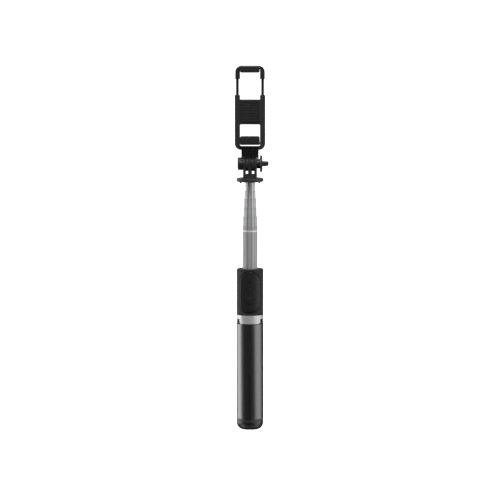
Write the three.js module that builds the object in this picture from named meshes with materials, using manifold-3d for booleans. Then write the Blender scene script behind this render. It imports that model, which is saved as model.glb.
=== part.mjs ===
// Folding selfie stick: telescopic pole, tripod handle, pull-out remote and a phone clamp.
// Millimetres, +Z up along the pole, front towards -Y, origin under the closed feet.
import * as THREE from "three";
import { mergeVertices } from "three/addons/utils/BufferGeometryUtils.js";
import Module from "manifold-3d";

const wasm = await Module();
wasm.setup();

// ---- driving dimensions ----
const handleRadius = 13.65;
const legTop = 108.3;
const collarBottom = 108.9;
const collarTop = 117.4;
const headTop = 164.4;
const tubeRadius = 7.6;
const tubeTops = [207.3, 217.1, 226.4, 235.5, 243.1];
const flangeBottom = 252.9;
const hingeHeight = 271.1;
const prongRadius = 7.6;
const frameHalfWidth = 15.4;
const phoneSide = 71.5;
const phoneDepth = 10.9;
const ledgeTop = 295.6;

// ---- running clearances ----
const seamHalf = 0.2;
const slideGap = 0.25;
const fitGap = 0.15;
const hingeGap = 0.15;
const prongGap = 0.06;

// ---- solids ----
const roundSegments = 36;

function solidFrom(geometry) {
  const bare = geometry.index ? geometry.toNonIndexed() : geometry;
  bare.deleteAttribute("normal");
  bare.deleteAttribute("uv");
  const merged = mergeVertices(bare, 1e-4);
  const made = new wasm.Manifold(
    new wasm.Mesh({
      numProp: 3,
      vertProperties: merged.attributes.position.array,
      triVerts: new Uint32Array(merged.index.array),
    }),
  );
  return made;
}

// Solid of revolution about Z from [radius, z] points that run upwards on the outside.
function turned(profile, segments = roundSegments) {
  const points = profile.map(([r, z]) => new THREE.Vector2(r, z));
  if (profile[0][0] > 0) points.push(points[0].clone());
  const geometry = new THREE.LatheGeometry(points, segments, Math.PI / 2);
  geometry.rotateX(Math.PI / 2);
  return solidFrom(geometry);
}

function disc(radius, bottom, top, segments = roundSegments) {
  return turned([[0, bottom], [radius, bottom], [radius, top], [0, top]], segments);
}

function ring(outer, inner, bottom, top, segments = roundSegments) {
  return turned([[inner, bottom], [outer, bottom], [outer, top], [inner, top]], segments);
}

function prism(shape, bottom, top, curveSegments = 10) {
  const options = { depth: top - bottom, bevelEnabled: false, curveSegments };
  const geometry = new THREE.ExtrudeGeometry(shape, options);
  geometry.translate(0, 0, bottom);
  return solidFrom(geometry);
}

function box(x0, x1, y0, y1, z0, z1) {
  const geometry = new THREE.BoxGeometry(x1 - x0, y1 - y0, z1 - z0);
  geometry.translate((x0 + x1) / 2, (y0 + y1) / 2, (z0 + z1) / 2);
  return solidFrom(geometry);
}

// Shape drawn in (x, z), given depth along Y from front to back.
function plate(shape, front, back, curveSegments = 10) {
  return prism(shape, -back, -front, curveSegments).rotate([90, 0, 0]);
}

// Shape drawn in (y, z), given length along X from left to right.
function bar(shape, left, right, curveSegments = 10) {
  return prism(shape, left, right, curveSegments).rotate([90, 0, 0]).rotate([0, 0, 90]);
}

// Round rod along X through (y, z).
function rodX(radius, left, right, y, z, segments = 24) {
  return disc(radius, left, right, segments).rotate([0, 90, 0]).translate([0, y, z]);
}

// Round rod along Y through (x, z).
function rodY(radius, front, back, x, z, segments = 24) {
  return disc(radius, -back, -front, segments).rotate([90, 0, 0]).translate([x, 0, z]);
}

function roundedRect(x0, x1, z0, z1, radius) {
  const shape = new THREE.Shape();
  const quarter = Math.PI / 2;
  shape.moveTo(x0 + radius, z0);
  shape.lineTo(x1 - radius, z0);
  shape.absarc(x1 - radius, z0 + radius, radius, -quarter, 0);
  shape.lineTo(x1, z1 - radius);
  shape.absarc(x1 - radius, z1 - radius, radius, 0, quarter);
  shape.lineTo(x0 + radius, z1);
  shape.absarc(x0 + radius, z1 - radius, radius, quarter, 2 * quarter);
  shape.lineTo(x0, z0 + radius);
  shape.absarc(x0 + radius, z0 + radius, radius, 2 * quarter, 3 * quarter);
  return shape;
}

function polygon(points) {
  return new THREE.Shape(points.map(([a, b]) => new THREE.Vector2(a, b)));
}

function joined(...solids) {
  return solids.reduce((sum, next) => sum.add(next));
}

// ---- finishes ----
function finish(color, roughness, metalness) {
  return new THREE.MeshStandardMaterial({ color, roughness, metalness });
}

const anodised = finish(0x17181b, 0.34, 0.75);
const satinGrey = finish(0xb9bbbf, 0.4, 0.8);
const brushed = finish(0xc8cacd, 0.28, 1);
const casing = finish(0x24262a, 0.55, 0);
const innerPlastic = finish(0x1b1c1f, 0.65, 0);
const rubber = finish(0x1d1e20, 0.9, 0);
const steel = finish(0xb5b7ba, 0.3, 1);
const boardGreen = finish(0x1f5a3a, 0.6, 0);
const lensClear = finish(0xdfe4ea, 0.2, 0);

const stick = new THREE.Group();

function piece(name, solid, material) {
  const mesh = solid.getMesh();
  const geometry = new THREE.BufferGeometry();
  geometry.setAttribute("position", new THREE.BufferAttribute(mesh.vertProperties, 3));
  geometry.setIndex(new THREE.BufferAttribute(mesh.triVerts, 1));
  const flat = geometry.toNonIndexed();
  flat.computeVertexNormals();
  const made = new THREE.Mesh(flat, material);
  made.name = name;
  stick.add(made);
}

// ---- tripod legs ----
const legCount = 3;
const legPitch = 360 / legCount;
const shellWall = 1.1;
const coreOuter = handleRadius - shellWall - fitGap;
const poleBore = tubeRadius + 0.8;
const footTop = 8.6;
const bandTop = 11.4;
const spigotTop = 15.5;
const bandRadius = handleRadius - 0.25;
const footCorner = 7.2;
const wellFloor = 12.6;
const coreBottom = spigotTop + 0.4;
const legHingeRadius = handleRadius - 1.75;
const legHingeHeight = collarBottom + 2.8;
const knuckleRadius = 1.75;
const coreTop = legHingeHeight - 4.5;
const slotWidth = 4.6;
const webWidth = slotWidth - 2 * 0.23;
const pinRadius = 0.8;
const pinLength = 9;
const nibRadius = 2.2;

// Wedge of the handle that one leg fills, pointing along +X, with half a seam left off each side.
function legWedge(bottom, top) {
  const half = THREE.MathUtils.degToRad(legPitch / 2);
  const tip = seamHalf / Math.sin(half);
  const reach = 30;
  const x = tip + reach * Math.cos(half);
  const y = reach * Math.sin(half);
  return prism(polygon([[tip, 0], [x, -y], [x + reach, -y], [x + reach, y], [x, y]]), bottom, top);
}

function footProfile() {
  const points = [[0, 0]];
  const steps = 5;
  for (let i = 0; i <= steps; i += 1) {
    const angle = (i / steps) * (Math.PI / 2);
    const r = handleRadius - footCorner + footCorner * Math.sin(angle);
    points.push([r, footCorner * (1 - Math.cos(angle))]);
  }
  points.push([handleRadius, footTop], [bandRadius, footTop]);
  points.push([bandRadius, bandTop], [coreOuter, bandTop], [coreOuter, spigotTop]);
  points.push([poleBore, spigotTop], [poleBore, wellFloor], [0, wellFloor]);
  return points;
}

function legShell() {
  const inner = handleRadius - shellWall;
  return ring(handleRadius, inner, bandTop + 0.05, legTop).intersect(legWedge(0, legTop + 1));
}

function legCore() {
  const trough = ring(coreOuter, poleBore, coreBottom, coreTop).intersect(legWedge(0, legTop));
  const pocketDepth = coreOuter - poleBore - 1.2;
  const pocketRoom = coreTop - coreBottom;
  const pocketCount = 3;
  const pitch = pocketRoom / pocketCount;
  let core = trough;
  for (let i = 0; i < pocketCount; i += 1) {
    const z0 = coreBottom + i * pitch + 2;
    const outline = roundedRect(-4.2, 4.2, z0, z0 + pitch - 4 - (i === pocketCount - 1 ? 5 : 0), 1.5);
    const pocket = bar(outline, poleBore - 2, poleBore + pocketDepth, 3);
    core = core.subtract(pocket);
  }
  const knuckle = rodY(knuckleRadius, -webWidth / 2, webWidth / 2, legHingeRadius, legHingeHeight, 16);
  const web = box(
    legHingeRadius - knuckleRadius,
    coreOuter - 0.02,
    -webWidth / 2,
    webWidth / 2,
    coreTop - 1,
    legHingeHeight,
  );
  const webTrim = ring(coreOuter, poleBore, coreTop - 2, legHingeHeight + 1);
  const hole = rodY(pinRadius + 0.06, -6, 6, legHingeRadius, legHingeHeight, 16);
  return core.add(web.intersect(webTrim)).add(knuckle).subtract(hole);
}

function legPin() {
  return rodY(pinRadius, -pinLength / 2, pinLength / 2, legHingeRadius, legHingeHeight, 16);
}

const legLetters = ["a", "b", "c"];
const legAzimuths = [-90 - 60, -90 + 60, 90];
const nib = disc(nibRadius, 0, wellFloor, 20);
const nibNotch = disc(nibRadius + 2 * seamHalf, -1, wellFloor + 1, 20);

legLetters.forEach((letter, i) => {
  const turn = [0, 0, legAzimuths[i]];
  const keeper = letter === "c";
  const footRound = turned(footProfile()).intersect(legWedge(-1, legTop)).rotate(turn);
  const foot = keeper ? footRound.add(nib) : footRound.subtract(nibNotch);
  piece(`leg_shell_${letter}`, legShell().rotate(turn), anodised);
  piece(`leg_core_${letter}`, legCore().rotate(turn), innerPlastic);
  piece(`foot_${letter}`, foot, casing);
  piece(`leg_pin_${letter}`, legPin().rotate(turn), steel);
});

// ---- collar ----
const collarBore = tubeRadius + 0.7;
const skirtCorner = 2;
const tenonRadius = 10;
const tenonHeight = 1.8;
const screwRing = handleRadius - 2.65;
const screwAzimuths = [-90 - 120, -90 + 120];
const screwSeat = collarBottom + 2;

function hingeSlot() {
  const half = slotWidth / 2;
  const top = legHingeHeight + knuckleRadius + 0.3;
  const shape = new THREE.Shape();
  shape.moveTo(-half - skirtCorner, collarBottom - 1);
  shape.lineTo(half + skirtCorner, collarBottom - 1);
  shape.lineTo(half + skirtCorner, collarBottom);
  shape.absarc(half + skirtCorner, collarBottom + skirtCorner, skirtCorner, -Math.PI / 2, Math.PI, true);
  shape.lineTo(half, top);
  shape.lineTo(-half, top);
  shape.lineTo(-half, collarBottom + skirtCorner);
  shape.absarc(-half - skirtCorner, collarBottom + skirtCorner, skirtCorner, 0, -Math.PI / 2, true);
  return bar(shape, legHingeRadius - knuckleRadius - 0.35, handleRadius + 2, 5);
}

let collar = turned([
  [collarBore, collarBottom],
  [handleRadius, collarBottom],
  [handleRadius, collarTop],
  [tenonRadius, collarTop],
  [tenonRadius, collarTop + tenonHeight],
  [collarBore, collarTop + tenonHeight],
]);
for (const azimuth of legAzimuths) {
  const pinHole = rodY(pinRadius + 0.04, -pinLength / 2 - 0.1, pinLength / 2 + 0.1, 0, 0, 16);
  const placed = pinHole.translate([legHingeRadius, 0, legHingeHeight]);
  collar = collar.subtract(hingeSlot().rotate([0, 0, azimuth])).subtract(placed.rotate([0, 0, azimuth]));
}
for (const azimuth of screwAzimuths) {
  const shankHole = disc(1, collarBottom - 1, collarTop + 1, 16);
  const headHole = disc(1.9, collarBottom - 1, screwSeat + 0.1, 16);
  const hole = joined(shankHole, headHole);
  collar = collar.subtract(hole.translate([screwRing, 0, 0]).rotate([0, 0, azimuth]));
}
piece("leg_collar", collar, satinGrey);

screwAzimuths.forEach((azimuth, i) => {
  const shank = disc(0.9, screwSeat - 0.4, collarTop + 8, 16);
  const socket = disc(0.75, screwSeat - 2, screwSeat - 0.6, 6);
  const cap = disc(1.7, screwSeat - 1.3, screwSeat, 16).subtract(socket);
  const screw = shank.add(cap);
  const placed = screw.translate([screwRing, 0, 0]).rotate([0, 0, azimuth]);
  piece(`collar_screw_${i + 1}`, placed, steel);
});

// ---- remote outline, shared by the remote and its pocket ----
const remoteHalf = 10.15;
const remoteBottom = 119.8;
const remoteTop = 162.3;
const pocketFloor = -(handleRadius - 4.65);
const remoteBack = pocketFloor - 0.1;
const remoteEdge = pocketFloor - 2;
const remoteFront = pocketFloor - 4.75;
const remoteWall = 0.9;
const pocketGap = 0.35;

function stadium(inset) {
  return roundedRect(
    -remoteHalf + inset,
    remoteHalf - inset,
    remoteBottom + inset,
    remoteTop - inset,
    remoteHalf - inset - 0.01,
  );
}

// D-shaped section with a crowned front, run along the remote's length.
function crowned(offset, back) {
  const half = remoteHalf + 1;
  const rise = remoteEdge - remoteFront;
  const radius = (remoteHalf ** 2 + rise ** 2) / (2 * rise);
  const centre = remoteFront + radius;
  const shape = new THREE.Shape();
  const points = [];
  const steps = 12;
  for (let i = 0; i <= steps; i += 1) {
    const x = -half + (2 * half * i) / steps;
    points.push([x, centre - Math.sqrt((radius + offset) ** 2 - x ** 2)]);
  }
  points.push([half, back], [-half, back]);
  shape.setFromPoints(points.map(([x, y]) => new THREE.Vector2(x, y)));
  return prism(shape, remoteBottom - 1, remoteTop + 1);
}

// ---- head ----
const headRadius = handleRadius - 0.1;
const headCapBottom = headTop - 1.2;
const headShellTop = headCapBottom - 0.1;
const guideBottom = 128;
const pinRing = handleRadius - 4.2;

let head = turned([
  [collarBore, collarTop + tenonHeight + 0.1],
  [tenonRadius + 0.1, collarTop + tenonHeight + 0.1],
  [tenonRadius + 0.1, collarTop + 0.05],
  [headRadius, collarTop + 0.05],
  [headRadius, headShellTop],
  [collarBore, headShellTop],
]);
head = head.subtract(plate(stadium(-pocketGap), -30, pocketFloor, 10));
for (const azimuth of screwAzimuths) {
  const hole = disc(1, collarTop - 1, collarTop + 8.5, 16).translate([screwRing, 0, 0]);
  head = head.subtract(hole.rotate([0, 0, azimuth]));
}
for (const side of [-1, 1]) {
  head = head.subtract(disc(1.1, headShellTop - 1, headShellTop + 1, 16).translate([side * pinRing, 0, 0]));
}
piece("head_shell", head, casing);

let headCap = turned([
  [tubeRadius + 0.3, headCapBottom],
  [headRadius, headCapBottom],
  [headRadius, headTop - 0.6],
  [headRadius - 0.6, headTop],
  [tubeRadius + 0.3, headTop],
]);
for (const side of [-1, 1]) {
  headCap = headCap.subtract(disc(1.1, headCapBottom - 1, headTop + 1, 16).translate([side * pinRing, 0, 0]));
}
piece("head_cap", headCap, casing);
piece("pole_guide", ring(collarBore - 0.05, tubeRadius + 0.2, guideBottom, headShellTop), innerPlastic);

// ---- telescopic pole ----
const tubeWall = 0.25;
const tubeStep = tubeWall + slideGap;
const tubeCount = 6;
const tubeLength = 150;
const plugBody = 5;
const plugFlange = 1.5;
const lengthStep = plugBody + plugFlange + 0.4;
const fluteCount = 12;
const fluteDepth = 0.2;
const flutePhase = -109;
const crimpBelowTop = 4.3;
const seatInYoke = 3;

const radiusOf = (i) => tubeRadius - i * tubeStep;
const topOf = (i) => (i < tubeTops.length ? tubeTops[i] : flangeBottom + seatInYoke);
const bottomOf = (i) => topOf(0) - tubeLength + (topOf(i) - topOf(0)) + i * lengthStep;

// Fluted body: each profile point is [radius, z], and the radius dips at every flute.
function fluted(profile) {
  const perLobe = 3;
  const count = fluteCount * perLobe;
  const positions = [];
  const dip = [1, 0, 0];
  const vertex = (k, j) => {
    const [r, z] = profile[j % profile.length];
    const angle = THREE.MathUtils.degToRad(flutePhase + (k * 360) / count);
    const radius = r > 0 ? r - fluteDepth * dip[k % perLobe] : 0;
    return [radius * Math.cos(angle), radius * Math.sin(angle), z];
  };
  for (let k = 0; k < count; k += 1) {
    for (let j = 0; j < profile.length; j += 1) {
      const a = vertex(k, j);
      const b = vertex(k + 1, j);
      const c = vertex(k + 1, j + 1);
      const d = vertex(k, j + 1);
      const axisLow = profile[j][0] === 0;
      const axisHigh = profile[(j + 1) % profile.length][0] === 0;
      if (axisLow && axisHigh) continue;
      if (!axisLow) positions.push(...a, ...b, ...c);
      if (axisLow) positions.push(...a, ...c, ...d);
      if (!axisLow && !axisHigh) positions.push(...a, ...c, ...d);
    }
  }
  const geometry = new THREE.BufferGeometry();
  geometry.setAttribute("position", new THREE.Float32BufferAttribute(positions, 3));
  return solidFrom(geometry);
}

for (let i = 0; i < tubeCount; i += 1) {
  const outer = radiusOf(i);
  const inner = outer - tubeWall;
  const low = bottomOf(i);
  const high = topOf(i);
  const crimp = high - crimpBelowTop;
  const crimped = i < tubeCount - 1;
  const outside = crimped
    ? [[outer, crimp - 0.5], [outer - 0.1, crimp - 0.1], [outer - 0.1, crimp + 0.1], [outer, crimp + 0.5]]
    : [];
  const tube = fluted([
    [inner, low],
    [outer, low],
    ...outside,
    [outer, high - 0.25],
    [outer - 0.1, high],
    [inner, high],
  ]);
  piece(`tube_${i + 1}`, tube, brushed);
  const plugRadius = inner - 0.1;
  const plug = fluted([
    [0, low - plugFlange],
    [outer + 0.12, low - plugFlange],
    [outer + 0.12, low - 0.05],
    [plugRadius, low - 0.05],
    [plugRadius, low + plugBody],
    [0, low + plugBody],
  ]);
  piece(`tube_plug_${i + 1}`, plug, innerPlastic);
}

// ---- swivel stud in the thinnest tube ----
const lastRadius = radiusOf(tubeCount - 1);
const lastTop = topOf(tubeCount - 1);
const studShank = lastRadius - tubeWall - fluteDepth - 0.1;
const spindle = 3.2;
const spindleTop = lastTop + 3.5;
piece(
  "pole_top_stud",
  turned(
    [
      [0, lastTop - 13],
      [studShank, lastTop - 13],
      [studShank, lastTop + 0.1],
      [lastRadius - 0.1, lastTop + 0.1],
      [lastRadius - 0.1, lastTop + 0.8],
      [spindle, lastTop + 0.8],
      [spindle, lastTop + 1.3],
      [spindle - 0.7, lastTop + 1.5],
      [spindle - 0.7, lastTop + 2.9],
      [spindle, lastTop + 3.1],
      [spindle, spindleTop],
      [0, spindleTop],
    ],
    32,
  ),
  steel,
);

// ---- hinge base on the pole ----
const flangeTop = flangeBottom + 3.6;
const flangeRadius = handleRadius - 0.05;
const blockHalf = 7;
const slotFloor = hingeHeight - 10.7;
const outerProng = 2.65;
const middleProng = 1.9;
const stemHalf = prongRadius - 1.2;
const boltRadius = 2.5;
const boltBore = boltRadius + hingeGap;
const grubHeight = lastTop + 2.2;

function prong(left, right) {
  const disk = rodX(prongRadius, left, right, 0, hingeHeight, 32);
  const stem = box(left, right, -stemHalf, stemHalf, flangeTop - 0.5, hingeHeight);
  return disk.add(stem);
}

let hingeBase = turned([
  [0, flangeBottom],
  [flangeRadius - 0.8, flangeBottom],
  [flangeRadius, flangeBottom + 0.8],
  [flangeRadius, flangeTop - 1],
  [flangeRadius - 0.3, flangeTop - 0.3],
  [flangeRadius - 1, flangeTop],
  [0, flangeTop],
]);
hingeBase = joined(
  hingeBase,
  box(-blockHalf, blockHalf, -stemHalf, stemHalf, flangeTop - 0.5, slotFloor),
  prong(-blockHalf, -blockHalf + outerProng),
  prong(-middleProng, middleProng),
  prong(blockHalf - outerProng, blockHalf),
);
hingeBase = hingeBase
  .subtract(disc(lastRadius + 0.3, flangeBottom - 1, lastTop + 1, 32))
  .subtract(disc(spindle + 0.15, lastTop, spindleTop + 0.2, 32))
  .subtract(rodX(boltBore, -blockHalf - 1, blockHalf + 1, 0, hingeHeight, 24))
  .subtract(rodY(1.05, 0, prongRadius + 1, 0, grubHeight, 12));
for (const side of [-1, 1]) {
  const hole = disc(1, flangeBottom - 1, flangeBottom + 2, 16).translate([side * pinRing, 0, 0]);
  hingeBase = hingeBase.subtract(hole);
}
piece("hinge_base", hingeBase, casing);
for (const [side, name] of [[-1, "left"], [1, "right"]]) {
  const pin = turned(
    [
      [0, flangeBottom - 1.8],
      [0.65, flangeBottom - 1.8],
      [0.95, flangeBottom - 1.5],
      [0.95, flangeBottom + 1.9],
      [0, flangeBottom + 1.9],
    ],
    16,
  );
  piece(`index_pin_${name}`, pin.translate([side * pinRing, 0, 0]), steel);
}
const grubPoint = rodY(0.55, spindle - 0.55, spindle + 1, 0, grubHeight, 12);
const grub = rodY(1, spindle + 0.2, stemHalf - 0.4, 0, grubHeight, 12).add(grubPoint);
const grubSocket = rodY(0.5, stemHalf - 1.4, stemHalf, 0, grubHeight, 6);
piece("swivel_grub_screw", grub.subtract(grubSocket), steel);

// ---- tilt bolt, nut cap and knob ----
const nutCapOuter = 6.5;
const nutCapLeft = -12.6;
const nutAcross = 4.62;
const hubRadius = 4.85;
const knobHubEnd = blockHalf + 3.1;
const knobPlateEnd = knobHubEnd + 2.5;
const knobTip = knobPlateEnd + 6.2;
const knobRadius = 8.45;
const knobGrip = 4.3;

function ribbedCap() {
  const ribs = 36;
  const points = [];
  for (let i = 0; i < ribs; i += 1) {
    const angle = (i / ribs) * 2 * Math.PI;
    const radius = nutCapOuter - (i % 2 ? 0.25 : 0);
    points.push([radius * Math.cos(angle), radius * Math.sin(angle)]);
  }
  return prism(polygon(points), nutCapLeft, -blockHalf - 0.05);
}

const capLength = -nutCapLeft - blockHalf - 0.05;
const capCore = turned(
  [
    [0, nutCapLeft],
    [nutCapOuter - 0.9, nutCapLeft],
    [nutCapOuter, nutCapLeft + 0.9],
    [nutCapOuter, nutCapLeft + capLength],
    [0, nutCapLeft + capLength],
  ],
  36,
);
const nutPocket = disc(nutAcross + 0.1, nutCapLeft + 1.2, 0, 6);
const nutCap = capCore.intersect(ribbedCap()).subtract(nutPocket);
piece("nut_cap", nutCap.rotate([0, 90, 0]).translate([0, 0, hingeHeight]), casing);
const nutLength = 4;
const hexNut = disc(nutAcross, nutCapLeft + 1.3, nutCapLeft + 1.3 + nutLength, 6);
const hexBore = disc(boltRadius + 0.05, nutCapLeft, 0, 24);
piece("hinge_nut", hexNut.subtract(hexBore).rotate([0, 90, 0]).translate([0, 0, hingeHeight]), steel);

const boltEnd = knobPlateEnd + 2;
const bolt = disc(boltRadius, nutCapLeft + 1.5, boltEnd, 24);
piece("tilt_bolt", bolt.rotate([0, 90, 0]).translate([0, 0, hingeHeight]), steel);

const knobTurned = turned(
  [
    [0, blockHalf + 0.1],
    [hubRadius, blockHalf + 0.1],
    [hubRadius, knobHubEnd],
    [knobRadius - 0.4, knobHubEnd],
    [knobRadius, knobHubEnd + 0.4],
    [knobRadius, knobPlateEnd - 0.7],
    [knobRadius - 0.5, knobPlateEnd - 0.2],
    [hubRadius, knobPlateEnd],
    [0, knobPlateEnd],
  ],
  48,
)
  .rotate([0, 90, 0])
  .translate([0, 0, hingeHeight]);
const gripOutline = new THREE.Shape();
gripOutline.moveTo(knobPlateEnd - 1, -knobGrip / 2);
gripOutline.lineTo(knobTip - 1.9, -knobGrip / 2 + 0.25);
gripOutline.absarc(knobTip - 1.9, 0, 1.9, -Math.PI / 2, Math.PI / 2);
gripOutline.lineTo(knobPlateEnd - 1, knobGrip / 2);
const gripReach = knobRadius - 0.6;
const grip = plate(gripOutline, -gripReach, gripReach, 6).translate([0, 0, hingeHeight]);
const gripTrim = bar(roundedRect(-gripReach, gripReach, hingeHeight - 4, hingeHeight + 4, 1.8), 8, 30, 4);
const boltSeat = rodX(boltRadius + 0.05, 0, boltEnd + 0.05, 0, hingeHeight, 24);
piece("tilt_knob", knobTurned.add(grip.intersect(gripTrim)).subtract(boltSeat), casing);

// ---- clamp body ----
const frameFront = -2.5;
const frameBack = 3.5;
const frameBottom = 285.2;
const frameCorner = 6.5;
const openingHalf = 10.15;
const openingBottom = 288.8;
const railTop = 340.5;
const crossBottom = 311;
const crossTop = 336;
const neckHalf = 8.7;
const neckBottomFront = 277.4;
const channelHalf = 1.5;
const channelCentre = (openingHalf + frameHalfWidth) / 2;
const channelDepth = 1.8;
const channelFloor = 290;
const lowerPinY = 0.6;
const lowerPinZ = 291.9;
const hookPinRadius = 0.75;

const clampProngIn = middleProng + prongGap;
const clampProngOut = blockHalf - outerProng - prongGap;
const clampProngRadius = prongRadius - 0.1;

function clampProng(left, right) {
  const disk = rodX(clampProngRadius, left, right, 0, hingeHeight, 32);
  const stem = box(left, right, -3.9, 3.4, hingeHeight, frameBottom - 3);
  return disk.add(stem);
}

const railsOutline = roundedRect(-frameHalfWidth, frameHalfWidth, frameBottom, railTop + 10, frameCorner);
let clampBody = plate(railsOutline, frameFront, frameBack, 8);
clampBody = clampBody
  .subtract(box(-40, 40, -20, 20, railTop, railTop + 30))
  .subtract(plate(roundedRect(-openingHalf, openingHalf, openingBottom, crossBottom, 1.2), -20, 20, 4))
  .subtract(box(-openingHalf, openingHalf, -20, 20, crossTop, railTop + 1));
const neckOutline = polygon([
  [-4, frameBottom + 1],
  [-4, neckBottomFront],
  [3.5, neckBottomFront],
  [3.5, frameBottom + 1],
]);
const hubSweep = rodX(prongRadius + 0.3, -blockHalf - 0.2, blockHalf + 0.2, 0, hingeHeight, 32);
const leftSweep = rodX(prongRadius + 0.3, -neckHalf - 1, 0, 0, hingeHeight, 32);
const rightCheek = box(blockHalf + 0.2, neckHalf, -3.2, 3, hingeHeight + 5.2, frameBottom - 5);
const neck = bar(neckOutline, -neckHalf, neckHalf).subtract(hubSweep).subtract(leftSweep);
clampBody = joined(
  clampBody,
  neck,
  rightCheek,
  clampProng(-clampProngOut, -clampProngIn),
  clampProng(clampProngIn, clampProngOut),
);
clampBody = clampBody
  .subtract(rodX(boltBore, -20, 20, 0, hingeHeight, 24))
  .subtract(rodX(hookPinRadius + 0.04, -13.5, 13.5, lowerPinY, lowerPinZ, 12));
for (const side of [-1, 1]) {
  const x = side * channelCentre;
  const y = (frameFront + frameBack) / 2;
  clampBody = clampBody.subtract(
    box(x - channelHalf, x + channelHalf, y - channelDepth, y + channelDepth, channelFloor + 5, railTop + 1),
  );
}
piece("clamp_body", clampBody, casing);

const padFront = frameFront - 0.8;
const padOutline = roundedRect(-9.5, 9.5, crossBottom + 2, crossTop - 2, 2);
piece("back_pad", plate(padOutline, padFront, frameFront - 0.02, 4), rubber);

// ---- hooks ----
const lipInner = padFront - phoneDepth;
const lipOuter = lipInner - 2.2;
const hookHalf = 9.9;
const padThick = 0.8;

// L-shaped hook on a cross pin: a ledge between supportZ and rootZ, and a lip from heel to tip.
function hookSolid(pinY, pinZ, knuckle, supportZ, rootZ, lipTip, lipHeel) {
  const low = Math.min(supportZ, rootZ);
  const high = Math.max(supportZ, rootZ);
  const ledgeFront = lipOuter + 1;
  const ledgeSide = polygon([[ledgeFront, low], [pinY, low], [pinY, high], [ledgeFront, high]]);
  const ledge = bar(ledgeSide, -hookHalf, hookHalf);
  const lipLow = Math.min(lipTip, lipHeel);
  const lipHigh = Math.max(lipTip, lipHeel);
  const lipFace = plate(roundedRect(-hookHalf, hookHalf, lipLow, lipHigh, 1.6), lipOuter, lipInner, 4);
  const barrel = rodX(knuckle, -hookHalf, hookHalf, pinY, pinZ, 24);
  const trim = bar(roundedRect(lipOuter, pinY + 9, lipLow, lipHigh, 1), -20, 20, 4);
  const solid = joined(ledge, barrel, lipFace.intersect(trim));
  return solid.subtract(rodX(hookPinRadius + 0.08, -20, 20, pinY, pinZ, 12));
}

const lowerKnuckle = 1.9;
const lowerRoot = lowerPinZ + 0.8;
const lowerSupport = ledgeTop - padThick - 0.02;
const lowerHook = hookSolid(
  lowerPinY,
  lowerPinZ,
  lowerKnuckle,
  lowerSupport,
  lowerRoot,
  ledgeTop + 4.5,
  lowerPinZ,
);
piece("lower_hook", lowerHook, casing);
const pinReach = 13.2;
piece("lower_hook_pin", rodX(hookPinRadius, -pinReach, pinReach, lowerPinY, lowerPinZ, 12), steel);
const pocketPadHalf = hookHalf - 0.9;
piece(
  "lower_hook_pad",
  box(-pocketPadHalf, pocketPadHalf, lipInner + 0.05, padFront + 0.4, ledgeTop - padThick, ledgeTop),
  rubber,
);

// ---- clamp slider ----
const upperLedge = ledgeTop + phoneSide;
const sliderTop = upperLedge + 3.2;
const sliderSideBottom = sliderTop - 13.3;
const sliderHalf = frameHalfWidth - 0.5;
const sliderLegBottom = 312;
const upperPinY = -1.2;
const upperPinZ = upperLedge + 1.9;

const sliderOutline = roundedRect(-sliderHalf, sliderHalf, sliderSideBottom - 10, sliderTop, frameCorner);
let slider = plate(sliderOutline, frameFront, frameBack, 8)
  .subtract(box(-40, 40, -20, 20, sliderSideBottom - 20, sliderSideBottom))
  .subtract(box(-openingHalf, openingHalf, -20, 20, sliderSideBottom - 1, sliderTop - 3.5))
  .subtract(box(-openingHalf, openingHalf, -20, 1, sliderSideBottom - 1, sliderTop + 1));
for (const side of [-1, 1]) {
  const x = side * channelCentre;
  const y = (frameFront + frameBack) / 2;
  const half = channelHalf - 0.12;
  const depth = channelDepth - 0.12;
  slider = slider.add(box(x - half, x + half, y - depth, y + depth, sliderLegBottom, sliderSideBottom + 2));
}
slider = slider.subtract(rodX(hookPinRadius + 0.04, -13.5, 13.5, upperPinY, upperPinZ, 12));
piece("clamp_slider", slider, casing);

const upperHook = hookSolid(
  upperPinY,
  upperPinZ,
  1.6,
  upperLedge + padThick + 0.02,
  upperPinZ + 1.6,
  upperLedge - 2.9,
  upperLedge + 3.9,
);
piece("upper_hook", upperHook, casing);
piece("upper_hook_pin", rodX(hookPinRadius, -pinReach, pinReach, upperPinY, upperPinZ, 12), steel);
piece(
  "upper_hook_pad",
  box(-pocketPadHalf, pocketPadHalf, lipInner + 0.05, padFront + 0.4, upperLedge, upperLedge + padThick),
  rubber,
);

// ---- jaw springs ----
const springRadius = 1.05;
const springWire = 0.22;
const springTurns = 9;
const springBottom = channelFloor + 5.1;
const springTop = sliderLegBottom - 0.1;

class Helix extends THREE.Curve {
  getPoint(t) {
    const angle = t * springTurns * 2 * Math.PI;
    const low = springBottom + springWire;
    const high = springTop - springWire;
    return new THREE.Vector3(
      springRadius * Math.cos(angle),
      springRadius * Math.sin(angle),
      low + t * (high - low),
    );
  }
}

function springSolid() {
  const wire = new THREE.Shape();
  wire.absarc(0, 0, springWire, 0, 2 * Math.PI);
  const options = { steps: springTurns * 8, curveSegments: 3, bevelEnabled: false, extrudePath: new Helix() };
  return solidFrom(new THREE.ExtrudeGeometry(wire, options));
}

for (const [side, name] of [[-1, "left"], [1, "right"]]) {
  const place = [side * channelCentre, (frameFront + frameBack) / 2, 0];
  piece(`jaw_spring_${name}`, springSolid().translate(place), steel);
}

// ---- remote ----
const buttonHalfWidth = 5.25;
const buttonHalfHeight = 8;
const buttonCentre = 137.1;
const ledCentre = 152;
const lensRadius = 0.9;
const baseInset = remoteWall + 0.1;
const baseFront = remoteBack - 0.8;

function ellipse(halfWidth, halfHeight, centre) {
  const shape = new THREE.Shape();
  shape.absellipse(0, centre, halfWidth, halfHeight, 0, 2 * Math.PI);
  return shape;
}

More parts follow.
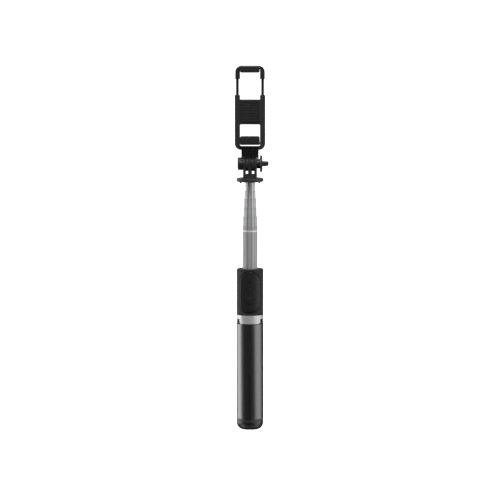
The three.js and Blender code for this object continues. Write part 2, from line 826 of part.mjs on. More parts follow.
const coverOuter = crowned(0, remoteBack).intersect(plate(stadium(0), -30, remoteBack, 10));
const coverInner = crowned(-remoteWall, 0).intersect(plate(stadium(remoteWall), -30, 0, 8));
const thumbScoop = rodX(3, -5.5, 5.5, remoteFront - 1.2, remoteBottom - 0.6, 20);
const cover = coverOuter
  .subtract(coverInner)
  .subtract(plate(ellipse(buttonHalfWidth + 0.15, buttonHalfHeight + 0.15, buttonCentre), -30, remoteEdge, 8))
  .subtract(rodY(lensRadius + 0.05, -30, remoteEdge, 0, ledCentre, 16))
  .subtract(thumbScoop);
piece("remote_cover", cover, casing);
piece("remote_base", plate(stadium(baseInset), baseFront, remoteBack, 8), innerPlastic);

const boardFront = baseFront - 0.7;
const boardOutline = roundedRect(-6.8, 6.8, 134.5, 157.5, 1.5);
piece("remote_board", plate(boardOutline, boardFront, baseFront - 0.05, 3), boardGreen);
const cellThick = 1.8;
piece("coin_cell", rodY(6.25, baseFront - 0.05 - cellThick, baseFront - 0.05, 0, 127.6, 32), steel);

const switchFront = remoteFront + 1.85;
const switchLow = buttonCentre - 2.5;
const switchHigh = buttonCentre + 2.5;
const switchBody = box(-2.5, 2.5, switchFront + 0.5, boardFront - 0.02, switchLow, switchHigh);
const switchKnob = rodY(1.2, switchFront, boardFront - 0.02, 0, buttonCentre, 16);
piece("shutter_switch", switchBody.add(switchKnob), steel);

const lens = rodY(lensRadius, remoteFront - 0.05, boardFront - 0.02, 0, ledCentre, 16);
piece("led_lens", lens, lensClear);

const buttonPress = 0.5;
const buttonProud = 0.15;
const buttonBack = switchFront - buttonPress - 0.25;
const button = crowned(buttonProud, remoteBack)
  .subtract(box(-20, 20, buttonBack, 0, remoteBottom - 2, remoteTop + 2))
  .intersect(plate(ellipse(buttonHalfWidth, buttonHalfHeight, buttonCentre), -30, 0, 8))
  .add(rodY(1.2, buttonBack - 0.15, switchFront - buttonPress - 0.05, 0, buttonCentre, 12));
piece("shutter_button", button, casing);

export default stick;
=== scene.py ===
import bpy
import bmesh
import math
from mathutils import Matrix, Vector


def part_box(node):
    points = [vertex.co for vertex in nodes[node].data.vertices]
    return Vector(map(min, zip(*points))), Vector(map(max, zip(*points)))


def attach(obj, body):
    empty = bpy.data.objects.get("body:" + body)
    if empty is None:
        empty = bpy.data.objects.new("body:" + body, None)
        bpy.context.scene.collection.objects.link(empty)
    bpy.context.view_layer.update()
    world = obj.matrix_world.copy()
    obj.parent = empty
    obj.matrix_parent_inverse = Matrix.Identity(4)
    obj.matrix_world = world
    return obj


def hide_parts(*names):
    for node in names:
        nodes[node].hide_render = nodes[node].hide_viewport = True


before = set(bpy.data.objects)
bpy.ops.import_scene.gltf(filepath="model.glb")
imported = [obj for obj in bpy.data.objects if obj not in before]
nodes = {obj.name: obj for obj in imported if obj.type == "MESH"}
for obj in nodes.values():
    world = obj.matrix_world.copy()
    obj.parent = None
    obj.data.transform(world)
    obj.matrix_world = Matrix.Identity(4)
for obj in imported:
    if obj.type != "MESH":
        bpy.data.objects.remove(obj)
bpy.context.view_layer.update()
mm = 0.001
print("frame loaded:", len(nodes), "nodes")


def mmBox(node):
    low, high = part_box(node)
    return [v / mm for v in low], [v / mm for v in high]


class Sock:
    # a socket that takes part in plain arithmetic

    def __init__(self, tree, out):
        self.tree = tree
        self.out = out

    def __add__(self, other):
        return self.tree.math("ADD", self, other)

    def __radd__(self, other):
        return self.tree.math("ADD", other, self)

    def __sub__(self, other):
        return self.tree.math("SUBTRACT", self, other)

    def __rsub__(self, other):
        return self.tree.math("SUBTRACT", other, self)

    def __mul__(self, other):
        return self.tree.math("MULTIPLY", self, other)

    def __rmul__(self, other):
        return self.tree.math("MULTIPLY", other, self)


class Tree:
    # one material's node tree around a Principled shader

    def __init__(self, name):
        self.material = bpy.data.materials.new(name)
        self.material.use_nodes = True
        self.nodes = self.material.node_tree.nodes
        self.links = self.material.node_tree.links
        self.shader = next(n for n in self.nodes if n.type == "BSDF_PRINCIPLED")

    def add(self, kind, settings=None, sockets=None, output=0):
        node = self.nodes.new(kind)
        for key, value in (settings or {}).items():
            setattr(node, key, value)
        for key, value in (sockets or {}).items():
            self.feed(node.inputs[key], value)
        return Sock(self, node.outputs[output])

    def feed(self, socket, value):
        if isinstance(value, Sock):
            self.links.new(value.out, socket)
        else:
            socket.default_value = (*value, 1) if socket.type == "RGBA" else value

    def math(self, operation, *values):
        return self.add("ShaderNodeMath", {"operation": operation}, dict(enumerate(values)))

    def mix(self, fac, first, second):
        # inputs 6 and 7 and output 2 are the node's colour sockets
        return self.add("ShaderNodeMix", {"data_type": "RGBA"}, {0: fac, 6: first, 7: second}, 2)

    def place(self):
        # output 3 holds the coordinates that ride with the piece
        return self.add("ShaderNodeTexCoord", output=3)

    def axis(self, index):
        # x, y or z in millimetres, for an index of 0, 1 or 2
        return self.add("ShaderNodeSeparateXYZ", None, {0: self.place()}, index) * (1 / mm)

    def noise(self, scale, detail=3.0, stretch=(1, 1, 1)):
        stretched = self.add("ShaderNodeMapping", None, {"Vector": self.place(), "Scale": stretch})
        return self.add("ShaderNodeTexNoise", None, {"Vector": stretched, "Scale": scale, "Detail": detail})

    def fade(self, value, none, full):
        # 0 where value is none, changing evenly to 1 where it is full
        values = {"Value": value, "From Min": none, "From Max": full}
        return self.add("ShaderNodeMapRange", {"clamp": True}, values)

    def near(self, value, centre, none, full):
        # 1 within full of the centre, fading to 0 at none
        return self.fade(self.math("ABSOLUTE", value - centre), none, full)

    def bump(self, height, strength, distance):
        values = {"Height": height, "Strength": strength, "Distance": distance}
        return self.add("ShaderNodeBump", None, values)

    def set(self, **values):
        names = {"color": "Base Color", "rough": "Roughness", "metal": "Metallic", "normal": "Normal",
                 "ior": "IOR", "specular": "Specular IOR Level"}
        for key, value in values.items():
            self.feed(self.shader.inputs[names[key]], value)
        return self.material


def blackAnodised():
    # drawn aluminium tube, blasted and dyed black: a very fine even grain
    t = Tree("blackAnodised")
    grain = t.noise(5200, 2.0)
    drawn = t.noise(900, 3.0, (1, 1, 0.02))
    cloud = t.noise(45)
    tone = t.mix(cloud, (0.0045, 0.0047, 0.0052), (0.0070, 0.0072, 0.0078))
    rough = 0.33 + cloud * 0.03 + drawn * 0.03
    return t.set(color=tone, rough=rough, specular=0.95, ior=1.88,
                 normal=t.bump(grain + drawn, 0.12, 0.00004))


def satinCollar():
    t = Tree("satinCollar")
    turning = t.noise(2600, 3.0, (0.05, 0.05, 1))
    grain = t.noise(6000, 2.0)
    cloud = t.noise(60, 2.0)
    tone = t.mix(cloud, (0.66, 0.665, 0.67), (0.74, 0.745, 0.75))
    return t.set(color=tone, rough=0.40 + cloud * 0.08, metal=0.4,
                 normal=t.bump(grain + turning, 0.15, 0.00004))


# millimetres, and degrees for the phase and width of the flutes; lift and metal hold a value for each
# tube, from the thickest, and thinCrimp is the share of the crimp's depth on all but the thickest. lift is
# painted light that makes the thinner tubes lighter, most of all the top one, which sits in the flange's
# shadow; the crimp's band is a painted highlight and the rim's band is painted shade
tubes = {"wall": 0.25, "flutes": 12, "fluteDepth": 0.2, "fluteWidth": 3.2, "phase": -109.0, "points": 240,
         "crimpDrop": 4.3, "crimpHalf": 0.9, "crimpDepth": 0.1, "thinCrimp": 0.3, "highlightBand": 0.8, "rim": 0.3,
         "lift": [1.0, 1.15, 1.2, 1.3, 1.5, 1.85], "metal": [0.15, 0.2, 0.25, 0.3, 0.45, 0.5]}


def drawnSteel(number):
    # thin steel tube with fine scratches along its length, a painted highlight on the crimp and painted
    # shade on the rim near its top end
    top = mmBox("tube_%d" % number)[1][2]
    thickest = number == 1
    t = Tree("drawnSteel%d" % number)
    drawn = t.noise(1500, 4.0, (1, 1, 0.012))
    scuff = t.noise(500, 3.0, (0.3, 0.3, 1))
    cloud = t.noise(55)
    height = t.axis(2)
    # painted highlight: the band round the crimp is painted near white
    crimp = t.near(height, top - tubes["crimpDrop"], tubes["highlightBand"], tubes["highlightBand"] * 0.8)
    # painted shade: the band at the top rim is painted darker, against the light its end catches from above
    rim = t.near(height, top, tubes["rim"], tubes["rim"] * 0.8)
    # painted shade in the flutes
    turn = t.math("ARCTAN2", t.axis(1), t.axis(0)) - math.radians(tubes["phase"])
    flute = t.fade(t.math("COSINE", turn * tubes["flutes"]), 0.1, 1.0)
    # painted light: lift makes the thinner tubes lighter, the top one most against the flange's shadow
    lift = tubes["lift"][number - 1]
    dark = [tone * lift for tone in (0.42, 0.425, 0.43)]
    light = [tone * lift for tone in (0.50, 0.505, 0.51)]
    shade = (0.20, 0.20, 0.205)
    plain = t.mix(cloud * 0.6 + drawn * 0.4, dark, light)
    shaded = t.mix(flute * (0.6 if thickest else 0.8), plain, shade)
    highlighted = t.mix(crimp * (0.9 if thickest else 0.04), shaded, (0.92, 0.92, 0.92))
    return t.set(color=t.mix(rim * 0.5, highlighted, shade), rough=0.40 + drawn * 0.12 + scuff * 0.05,
                 metal=tubes["metal"][number - 1], specular=0.35, normal=t.bump(drawn, 0.25, 0.00003))


def mouldedCasing(name, dark, light, rough, specular, grainSize, grainDepth):
    # moulded plastic with a fine spark-eroded texture
    t = Tree(name)
    grain = t.noise(grainSize)
    cloud = t.noise(70)
    wear = t.noise(240, 4.0)
    cool = 0.0005  # the plastics are a touch blue
    tone = t.mix(cloud * 0.5 + grain * 0.5, (dark, dark, dark + cool), (light, light, light + cool))
    return t.set(color=tone, rough=rough + wear * 0.10 - cloud * 0.05, specular=specular,
                 normal=t.bump(grain, 0.35, grainDepth))


# millimetres: heights of the grip band's lower and upper dark lines, half a line's width, and a blur
feet = {"bandLow": 8.6, "bandHigh": 11.3, "line": 0.35, "blur": 0.25}


def footCasing():
    # end cap of a leg: smooth gloss below, a matte grip band above between two dark lines
    t = Tree("footCasing")
    grain = t.noise(3400)
    cloud = t.noise(60)
    height = t.axis(2)
    band = t.fade(height, feet["bandLow"] - feet["blur"], feet["bandLow"])
    lines = [t.near(height, feet[end], feet["line"], feet["line"] * 0.8) for end in ("bandLow", "bandHigh")]
    gloss = t.mix(cloud, (0.008, 0.0082, 0.009), (0.012, 0.0122, 0.013))
    tone = t.mix(band, gloss, (0.010, 0.010, 0.0105))
    marked = t.mix(t.math("MAXIMUM", *lines) * 0.8, tone, (0.002, 0.002, 0.002))
    return t.set(color=marked, rough=0.36 + cloud * 0.05 + band * 0.22, specular=0.75, ior=1.65,
                 normal=t.bump(grain, 0.15 + band * 0.4, 0.00004))


# millimetres: the joints' distances from the middle, half the width of their shadow and of its dark
# core, and how it fades at the ends
prongs = {"joints": (0.98, 4.32), "half": 0.5, "core": 0.1, "fade": 0.6}


def prongCasing():
    # the clamp's plastic, with shadow in the joints between the prongs of the hinge
    low = mmBox("clamp_body")[0][2]
    high = mmBox("hinge_base")[1][2]
    t = Tree("prongCasing")
    grain = t.noise(3200)
    cloud = t.noise(70)
    across = t.math("ABSOLUTE", t.axis(0))
    height = t.axis(2)
    inner, outer = [t.near(across, joint, prongs["half"], prongs["core"]) for joint in prongs["joints"]]
    above = t.fade(height, low - prongs["fade"], low)
    below = t.fade(height, high, high - prongs["fade"])
    joints = (inner + outer) * above * below
    plain = t.mix(cloud * 0.5 + grain * 0.5, (0.026, 0.026, 0.0265), (0.036, 0.036, 0.0365))
    tone = t.mix(joints * 0.9, plain, (0.002, 0.002, 0.002))
    return t.set(color=tone, rough=0.56 + joints * 0.3, specular=0.4,
                 normal=t.bump(grain * 0.15 - joints, 0.9, 0.0003))


def softRubber():
    t = Tree("softRubber")
    grain = t.noise(3000, 2.0)
    dust = t.noise(120, 4.0)
    tone = t.mix(dust, (0.013, 0.013, 0.0135), (0.022, 0.022, 0.023))
    return t.set(color=tone, rough=0.82 - dust * 0.1, specular=0.3, normal=t.bump(grain, 0.4, 0.00004))


def plainSteel():
    t = Tree("plainSteel")
    turned = t.noise(1800, 3.0, (1, 1, 0.1))
    cloud = t.noise(150, 2.0)
    tone = t.mix(cloud, (0.40, 0.40, 0.41), (0.56, 0.56, 0.57))
    return t.set(color=tone, rough=0.26 + turned * 0.12, metal=1.0, normal=t.bump(turned, 0.2, 0.00003))


def blackenedSteel():
    t = Tree("blackenedSteel")
    oxide = t.noise(1400)
    tone = t.mix(oxide, (0.016, 0.016, 0.017), (0.030, 0.030, 0.032))
    return t.set(color=tone, rough=0.42 + oxide * 0.1, metal=0.3, normal=t.bump(oxide, 0.2, 0.00003))


def solderMask():
    t = Tree("solderMask")
    fibre = t.noise(700)
    tone = t.mix(fibre, (0.008, 0.06, 0.022), (0.014, 0.11, 0.045))
    return t.set(color=tone, rough=0.35 + fibre * 0.1, normal=t.bump(fibre, 0.2, 0.00004))


def smokedLens():
    t = Tree("smokedLens")
    depth = t.noise(900, 2.0)
    tone = t.mix(depth, (0.002, 0.002, 0.0025), (0.005, 0.005, 0.006))
    return t.set(color=tone, rough=0.30 + depth * 0.08, specular=0.12, normal=t.bump(depth, 0.05, 0.00002))


finishes = {
    "blackAnodised": blackAnodised(),
    "satinCollar": satinCollar(),
    "headCasing": mouldedCasing("headCasing", 0.032, 0.043, 0.58, 0.12, 3600, 0.00005),
    "remoteCasing": mouldedCasing("remoteCasing", 0.017, 0.024, 0.38, 0.5, 4200, 0.00004),
    "clampCasing": mouldedCasing("clampCasing", 0.016, 0.024, 0.45, 0.6, 3200, 0.00006),
    "prongCasing": prongCasing(),
    "innerPlastic": mouldedCasing("innerPlastic", 0.010, 0.016, 0.60, 0.35, 2600, 0.00006),
    "footCasing": footCasing(),
    "softRubber": softRubber(),
    "plainSteel": plainSteel(),
    "blackenedSteel": blackenedSteel(),
    "solderMask": solderMask(),
    "smokedLens": smokedLens(),
}
for number in range(1, 7):
    finishes["drawnSteel%d" % number] = drawnSteel(number)
print("finishes made:", len(finishes))


# degrees, millimetres and the strength of the large faces in the shading
softening = {"smoothBelow": 32, "bevelAbove": 38, "weld": 0.02, "segments": 2, "weight": 80}


def smoothGroup():
    # shades every shallow edge smooth and leaves the others sharp
    group = bpy.data.node_groups.new("shallowSmooth", "GeometryNodeTree")
    group.interface.new_socket("Geometry", in_out="INPUT", socket_type="NodeSocketGeometry")
    group.interface.new_socket("Geometry", in_out="OUTPUT", socket_type="NodeSocketGeometry")
    into = group.nodes.new("NodeGroupInput")
    out = group.nodes.new("NodeGroupOutput")
    faces = group.nodes.new("GeometryNodeSetShadeSmooth")
    faces.domain = "FACE"
    edges = group.nodes.new("GeometryNodeSetShadeSmooth")
    edges.domain = "EDGE"
    angle = group.nodes.new("GeometryNodeInputMeshEdgeAngle")
    shallow = group.nodes.new("FunctionNodeCompare")
    shallow.data_type = "FLOAT"
    shallow.operation = "LESS_THAN"
    shallow.inputs[1].default_value = math.radians(softening["smoothBelow"])
    group.links.new(angle.outputs[0], shallow.inputs[0])
    group.links.new(into.outputs[0], faces.inputs["Geometry"])
    group.links.new(faces.outputs[0], edges.inputs["Geometry"])
    group.links.new(shallow.outputs[0], edges.inputs["Shade Smooth"])
    group.links.new(edges.outputs[0], out.inputs[0])
    return group


shallowSmooth = smoothGroup()


def steadyNormals(part):
    # large faces decide the shading, so long walls stay straight beside their softened edges
    weigh = part.modifiers.new("steady", "WEIGHTED_NORMAL")
    weigh.keep_sharp = True
    weigh.weight = softening["weight"]


def carryOver(name, finish, edge):
    # keeps a CAD mesh, with its edges softened by edge millimetres
    part = nodes[name]
    material = finishes[finish]
    if not part.material_slots:
        part.data.materials.append(material)
    for one in part.material_slots:
        one.material = material
    weld = part.modifiers.new("weld", "WELD")
    weld.merge_threshold = softening["weld"] * mm
    soften = part.modifiers.new("soften", "BEVEL")
    soften.width = edge * mm
    soften.segments = softening["segments"]
    soften.limit_method = "ANGLE"
    soften.angle_limit = math.radians(softening["bevelAbove"])
    soften.use_clamp_overlap = True
    smooth = part.modifiers.new("smooth", "NODES")
    smooth.node_group = shallowSmooth
    steadyNormals(part)


def addPiece(name, points, faces, finish, body, replaced, sharp):
    # points are in millimetres; edges of sharp degrees and more stay sharp
    mesh = bpy.data.meshes.new(name)
    mesh.from_pydata([Vector(p) * mm for p in points], [], faces)
    work = bmesh.new()
    work.from_mesh(mesh)
    bmesh.ops.remove_doubles(work, verts=work.verts, dist=0.000004)
    bmesh.ops.recalc_face_normals(work, faces=work.faces)
    limit = math.radians(sharp)
    for face in work.faces:
        face.smooth = True
    for edge in work.edges:
        edge.smooth = edge.calc_face_angle(0) < limit
    work.to_mesh(mesh)
    work.free()
    mesh.materials.append(finishes[finish])
    made = bpy.data.objects.new(name, mesh)
    bpy.context.scene.collection.objects.link(made)
    steadyNormals(made)
    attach(made, body)
    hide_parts(replaced)


def loft(rings, closed=True):
    # joins rings of equal length; closed joins the last ring to the first, else both ends are capped
    count = len(rings[0])
    points = [p for ring in rings for p in ring]
    faces = []
    for i in range(len(rings) if closed else len(rings) - 1):
        a = i * count
        b = ((i + 1) % len(rings)) * count
        for k in range(count):
            m = (k + 1) % count
            faces.append((a + k, a + m, b + m, b + k))
    if not closed:
        faces.append(tuple(range(count)))
        faces.append(tuple(range(len(points) - count, len(points))))
    return points, faces


def flutedRing(radius, z):
    ring = []
    pitch = 360 / tubes["flutes"]
    for k in range(tubes["points"]):
        angle = 360 * k / tubes["points"]
        off = (angle - tubes["phase"] + pitch / 2) % pitch - pitch / 2
        reach = radius - tubes["fluteDepth"] * math.exp(-(off / tubes["fluteWidth"]) ** 2)
        ring.append((reach * math.cos(math.radians(angle)), reach * math.sin(math.radians(angle)), z))
    return ring


def makeTube(number):
    node = "tube_%d" % number
    low, high = mmBox(node)
    radius = round(high[0], 1)
    inner = radius - tubes["wall"]
    bottom, top = low[2], high[2]
    crimp = top - tubes["crimpDrop"]
    sink = tubes["crimpDepth"] * (1 if number == 1 else tubes["thinCrimp"])
    outside = [(radius, bottom)]
    if number < 6:
        for step in range(-4, 5):
            share = step / 4
            outside.append((radius - sink * (1 - share ** 2), crimp + tubes["crimpHalf"] * share))
    # the top edge is rolled over in three small steps
    for inwards, down in ((0, 0.3), (0.04, 0.1), (0.1, 0.01), (0.15, 0)):
        outside.append((radius - inwards, top - down))
    profile = [(inner, bottom)] + outside + [(inner, top)]
    points, faces = loft([flutedRing(r, z) for r, z in profile])
    addPiece("poleTube%d" % number, points, faces, "drawnSteel%d" % number, "section_%d" % number, node,
             50)


for number in range(1, 7):
    makeTube(number)
print("pole drawn")


coverLow, coverHigh = mmBox("remote_cover")
keyLow, keyHigh = mmBox("shutter_button")
# millimetres: the cover's dome, walls and rounding, the gap round the key and the thumbnail scoop
remote = {"doming": 2.75, "round": 0.35, "wall": 0.9, "skirt": 1.1, "lip": 0.3, "shrink": 0.35,
          "keySeat": 0.15, "keyGap": 0.22, "keyProud": 0.1, "holeLand": 0.6, "holeChamfer": 0.02,
          "points": 144, "scoopHalf": 5.2, "scoopDepth": 1.0, "scoopHeight": 2.8, "scoopBlend": 2.0}
keyCentre = (keyLow[2] + keyHigh[2]) / 2
keyWide = keyHigh[0] + remote["keySeat"]
keyTall = keyHigh[2] - keyCentre + remote["keySeat"]


def domeFront(x, proud=0.0):
    rise = remote["doming"]
    radius = (coverHigh[0] ** 2 + rise ** 2) / (2 * rise)
    return coverLow[1] + radius - math.sqrt((radius + proud) ** 2 - x * x)


def stadiumReach(angle, inset):
    # distance from the key's centre to the remote's outline, along a direction in x, z
    half = coverHigh[0] - remote["shrink"] - inset
    low = coverLow[2] + remote["shrink"] + inset + half
    high = coverHigh[2] - remote["shrink"] - inset - half
    near, far = 0.0, 60.0
    for _ in range(40):
        mid = (near + far) / 2
        x, z = math.cos(angle) * mid, keyCentre + math.sin(angle) * mid
        nearest = min(max(z, low), high)
        if math.hypot(x, z - nearest) < half:
            near = mid
        else:
            far = mid
    return near


def ellipseReach(angle, wide, tall):
    return 1 / math.hypot(math.cos(angle) / wide, math.sin(angle) / tall)


def holeReach(angle, spare):
    return ellipseReach(angle, keyWide + spare, keyTall + spare)


def aroundButton(reachOf, yOf):
    ring = []
    for k in range(remote["points"]):
        angle = 2 * math.pi * k / remote["points"]
        reach = reachOf(angle)
        x = reach * math.cos(angle)
        z = keyCentre + reach * math.sin(angle)
        ring.append((x, yOf(x, z), z))
    return ring


def scoop(x, z):
    # thumbnail recess at the lower end
    across = max(0.0, 1 - (x / remote["scoopHalf"]) ** 2)
    up = min(1.0, max(0.0, (coverLow[2] + remote["scoopHeight"] - z) / remote["scoopBlend"]))
    return remote["scoopDepth"] * across ** 0.5 * up * up * (3 - 2 * up)


def makeRemoteCover():
    # rings run round the key's centre: up the skirt, over the rounded edge, across the dome to the
    # key's hole, down through it and back out along the inside
    edge, back, wall = remote["round"], coverHigh[1], remote["wall"]
    rings = [aroundButton(lambda a: stadiumReach(a, remote["skirt"]), lambda x, z: back)]
    rings.append(aroundButton(lambda a: stadiumReach(a, 0.0), lambda x, z: back))
    for step in range(7):
        slope = step / 6 * math.pi / 2
        inset = edge * (1 - math.cos(slope))
        drop = edge * (1 - math.sin(slope))
        rings.append(aroundButton(lambda a, i=inset: stadiumReach(a, i),
                                  lambda x, z, d=drop: domeFront(x) + d + scoop(x, z)))
    for share in (0.12, 0.25, 0.4, 0.55, 0.7, 0.85, 0.95, 1.0):
        def reach(a, w=share):
            return stadiumReach(a, edge) * (1 - w) + holeReach(a, remote["keyGap"]) * w
        rings.append(aroundButton(reach, lambda x, z: domeFront(x) + scoop(x, z)))
    for depth in (0.04, 0.3, 0.85):
        rings.append(aroundButton(lambda a: holeReach(a, remote["keyGap"] - remote["holeChamfer"]),
                                  lambda x, z, d=depth: domeFront(x) + d))
    rings.append(aroundButton(lambda a: holeReach(a, remote["holeLand"]), lambda x, z: domeFront(x) + wall))
    rings.append(aroundButton(lambda a: stadiumReach(a, remote["skirt"]),
                              lambda x, z: min(domeFront(x) + wall, back - remote["lip"])))
    points, faces = loft(rings)
    addPiece("remoteCover", points, faces, "remoteCasing", "remote", "remote_cover", 45)


def makeButton():
    # crowned oval key with a round ring pressed into its middle
    def ring(reachOf, drop):
        return aroundButton(reachOf, lambda x, z: domeFront(x, remote["keyProud"]) + drop)

    wide, tall = keyWide - remote["keyGap"], keyTall - remote["keyGap"]
    # shares of the oval, then radii of the ring, each with how far it drops below the crown
    oval = [(0.9, 0.75), (1.0, 0.6), (1.0, 0.2), (0.985, 0.06), (0.95, 0.0), (0.85, 0.0), (0.7, 0.0),
            (0.55, 0.0)]
    pressed = [(2.25, 0.0), (2.1, 0.02), (2.0, 0.16), (1.75, 0.16), (1.65, 0.02), (1.5, 0.0), (0.7, 0.0)]
    rings = [ring(lambda a: ellipseReach(a, wide * share, tall * share), drop) for share, drop in oval]
    rings += [ring(lambda a: radius, drop) for radius, drop in pressed]
    points, faces = loft(rings, closed=False)
    addPiece("shutterKey", points, faces, "remoteCasing", "button", "shutter_button", 50)


makeRemoteCover()
makeButton()
print("remote moulded")


# millimetres, and how many faces run across a pad and along one rib
pads = {"ribPitch": 1.6, "ribDepth": 0.28, "corner": 1.6, "rim": 0.8, "across": 24, "perRib": 8}


def makeRibbedPad(name, node, body, face):
    # face is the way that the ribs look: "-y", "+z" or "-z"
    low, high = mmBox(node)
    flat, depthAxis = (2, 1) if face == "-y" else (1, 2)
    front, rear = (high, low) if face == "+z" else (low, high)
    inward = -1 if face == "+z" else 1
    count = int((high[flat] - low[flat]) / pads["ribPitch"] * pads["perRib"])
    across, corner = pads["across"], pads["corner"]
    points = []
    for side in (front, rear):
        for i in range(count + 1):
            along = low[flat] + (high[flat] - low[flat]) * i / count
            wave = 0.5 - 0.5 * math.cos(2 * math.pi * (along - low[flat]) / pads["ribPitch"])
            edge = min(along - low[flat], high[flat] - along)
            over = min(1.0, max(0.0, corner - edge) / corner)
            pull = corner * (1 - math.sqrt(1 - over * over))
            for k in range(across + 1):
                x = low[0] + (high[0] - low[0]) * k / across
                x = max(low[0] + pull, min(high[0] - pull, x))
                ribbed = side is front and min(x - low[0], high[0] - x, edge) > pads["rim"]
                point = [x, 0, 0]
                point[flat] = along
                point[depthAxis] = side[depthAxis] + (inward * pads["ribDepth"] * wave if ribbed else 0)
                points.append(point)
    wide = across + 1
    sheetSize = (count + 1) * wide
    faces = []
    for i in range(count):
        for k in range(across):
            a = i * wide + k
            quad = (a, a + 1, a + wide + 1, a + wide)
            faces.append(quad)
            faces.append(tuple(sheetSize + v for v in quad))
    border = list(range(across))
    border += [i * wide + across for i in range(count)]
    border += [count * wide + k for k in range(across, 0, -1)]
    border += [i * wide for i in range(count, 0, -1)]
    for a, b in zip(border, border[1:] + border[:1]):
        faces.append((a, b, sheetSize + b, sheetSize + a))
    addPiece(name, points, faces, "softRubber", body, node, 50)


makeRibbedPad("phonePad", "back_pad", "clamp", "-y")
makeRibbedPad("lowerJawPad", "lower_hook_pad", "lower_jaw", "+z")
makeRibbedPad("upperJawPad", "upper_hook_pad", "upper_jaw", "-z")
print("pads moulded")

# the width of the softened edges in millimetres, and the pieces
carried = {
    "blackAnodised": (0.2, ["leg_shell_a", "leg_shell_b", "leg_shell_c"]),
    "satinCollar": (0.15, ["leg_collar"]),
    "headCasing": (0.15, ["head_shell", "head_cap"]),
    "footCasing": (0.15, ["foot_a", "foot_b", "foot_c"]),
    "prongCasing": (0.42, ["hinge_base", "clamp_body"]),
    "clampCasing": (0.42, ["nut_cap", "tilt_knob", "clamp_slider", "lower_hook", "upper_hook"]),
    "innerPlastic": (0.15, ["leg_core_a", "leg_core_b", "leg_core_c", "pole_guide", "remote_base"]
                     + ["tube_plug_%d" % i for i in range(1, 7)]),
    "plainSteel": (0.08, ["leg_pin_a", "leg_pin_b", "leg_pin_c", "collar_screw_1", "collar_screw_2",
                          "pole_top_stud", "swivel_grub_screw", "hinge_nut", "lower_hook_pin",
                          "upper_hook_pin", "jaw_spring_left", "jaw_spring_right", "coin_cell",
                          "shutter_switch"]),
    "blackenedSteel": (0.15, ["tilt_bolt", "index_pin_left", "index_pin_right"]),
    "solderMask": (0.15, ["remote_board"]),
    "smokedLens": (0.15, ["led_lens"]),
}
for finish, (edge, names) in carried.items():
    for name in names:
        carryOver(name, finish, edge)
print("parts finished")

# metres, and how strongly the paper and the air glow
studio = {"reach": 24.0, "ceiling": 20.0, "sides": 64, "paper": 0.9, "floorGlow": 1.3, "backGlow": 1.3,
          "fill": 0.02}


def glowingPaper(name, glow):
    t = Tree(name)
    tone = studio["paper"]
    t.set(color=t.mix(t.noise(3, 2.0), [tone] * 3, [tone * 1.02] * 3), rough=0.9)
    t.shader.inputs["Emission Color"].default_value = (1, 1, 1, 1)
    t.shader.inputs["Emission Strength"].default_value = glow
    return t.material


def stageMesh(name, points, faces, material):
    mesh = bpy.data.meshes.new(name)
    mesh.from_pydata(points, [], faces)
    mesh.materials.append(material)
    made = bpy.data.objects.new(name, mesh)
    bpy.context.scene.collection.objects.link(made)
    made.visible_glossy = False
    made.visible_diffuse = False
    made.visible_shadow = False


def paperDrum(radius, top, sides):
    # a round paper wall with a ceiling, so that the ground is white from every side
    points = []
    for k in range(sides):
        turn = 2 * math.pi * k / sides
        points.append((radius * math.cos(turn), radius * math.sin(turn), -0.01))
        points.append((radius * math.cos(turn), radius * math.sin(turn), top))
    faces = []
    for k in range(sides):
        a, b = 2 * k, 2 * ((k + 1) % sides)
        faces.append((a, a + 1, b + 1, b))
    faces.append(tuple(2 * k + 1 for k in range(sides)))
    return points, faces


reach = studio["reach"]
corners = [(-reach, -reach, 0), (reach, -reach, 0), (reach, reach, 0), (-reach, reach, 0)]
stageMesh("floor", corners, [(0, 1, 2, 3)], glowingPaper("paleFloor", studio["floorGlow"]))
points, faces = paperDrum(reach, studio["ceiling"], studio["sides"])
stageMesh("backdrop", points, faces, glowingPaper("paleBackdrop", studio["backGlow"]))

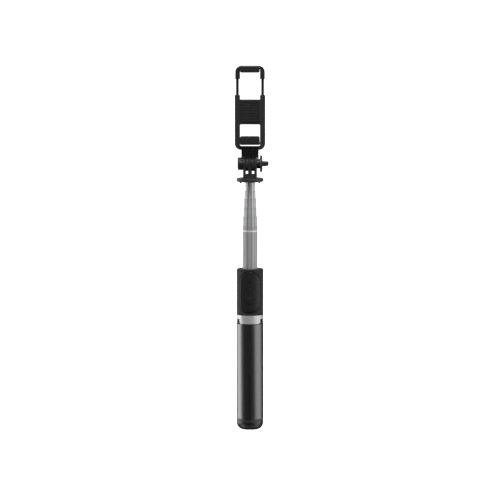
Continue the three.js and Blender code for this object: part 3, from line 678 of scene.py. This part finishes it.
world = bpy.data.worlds.new("studioAir")
bpy.context.scene.world = world
world.use_nodes = True
air = world.node_tree.nodes["Background"]
air.inputs["Color"].default_value = (1, 1, 1, 1)
air.inputs["Strength"].default_value = studio["fill"]

# azimuth in degrees from the camera's side, height, distance, width and tallness in metres, and watts
lights = {
    "leftStrip": (-107, 0.29, 1.2, 1.25, 1.3, 13.5),
    "rightStrip": (77, 0.29, 1.2, 1.6, 1.3, 9.4),
    "frontFill": (6, 2.2, 1.25, 1.0, 1.0, 42),
    "tableBounce": (0, -1.2, 0.45, 1.0, 0.8, 0.8),
    "bounceLeft": (-80, -0.75, 0.9, 0.6, 0.7, 1.6),
    "bounceRight": (80, -0.75, 0.9, 0.6, 0.7, 1.6),
    "backLight": (180, 1.6, 1.4, 1.0, 1.0, 10),
}
lightAim = Vector((0, 0, 0.18))
for name, (azimuth, height, distance, width, tall, power) in lights.items():
    light = bpy.data.lights.new(name, "AREA")
    light.shape = "RECTANGLE"
    light.size = width
    light.size_y = tall
    light.energy = power
    softbox = bpy.data.objects.new(name, light)
    turn = math.radians(azimuth)
    softbox.location = (distance * math.sin(turn), -distance * math.cos(turn), height)
    softbox.rotation_euler = (lightAim - softbox.location).to_track_quat("-Z", "Y").to_euler()
    softbox.visible_camera = False
    bpy.context.scene.collection.objects.link(softbox)

# a long lens that looks slightly down at the middle of the stick
camera = {"aimHeight": 0.1832, "azimuth": 0.6, "elevation": 5.5, "distance": 4.5, "span": 0.5075,
          "sensor": 36, "reach": 80}
lens = bpy.data.cameras.new("camera")
lens.sensor_width = camera["sensor"]
lens.lens = camera["sensor"] * camera["distance"] / camera["span"]
lens.clip_end = camera["reach"]
eye = bpy.data.objects.new("camera", lens)
tilt = math.radians(camera["elevation"])
turn = math.radians(camera["azimuth"])
level = camera["distance"] * math.cos(tilt)
rise = camera["aimHeight"] + camera["distance"] * math.sin(tilt)
eye.location = (level * math.sin(turn), -level * math.cos(turn), rise)
eye.rotation_euler = (math.radians(90) - tilt, 0, turn)
bpy.context.scene.collection.objects.link(eye)
bpy.context.scene.camera = eye
bpy.context.scene.view_settings.view_transform = "Standard"
print("studio ready")
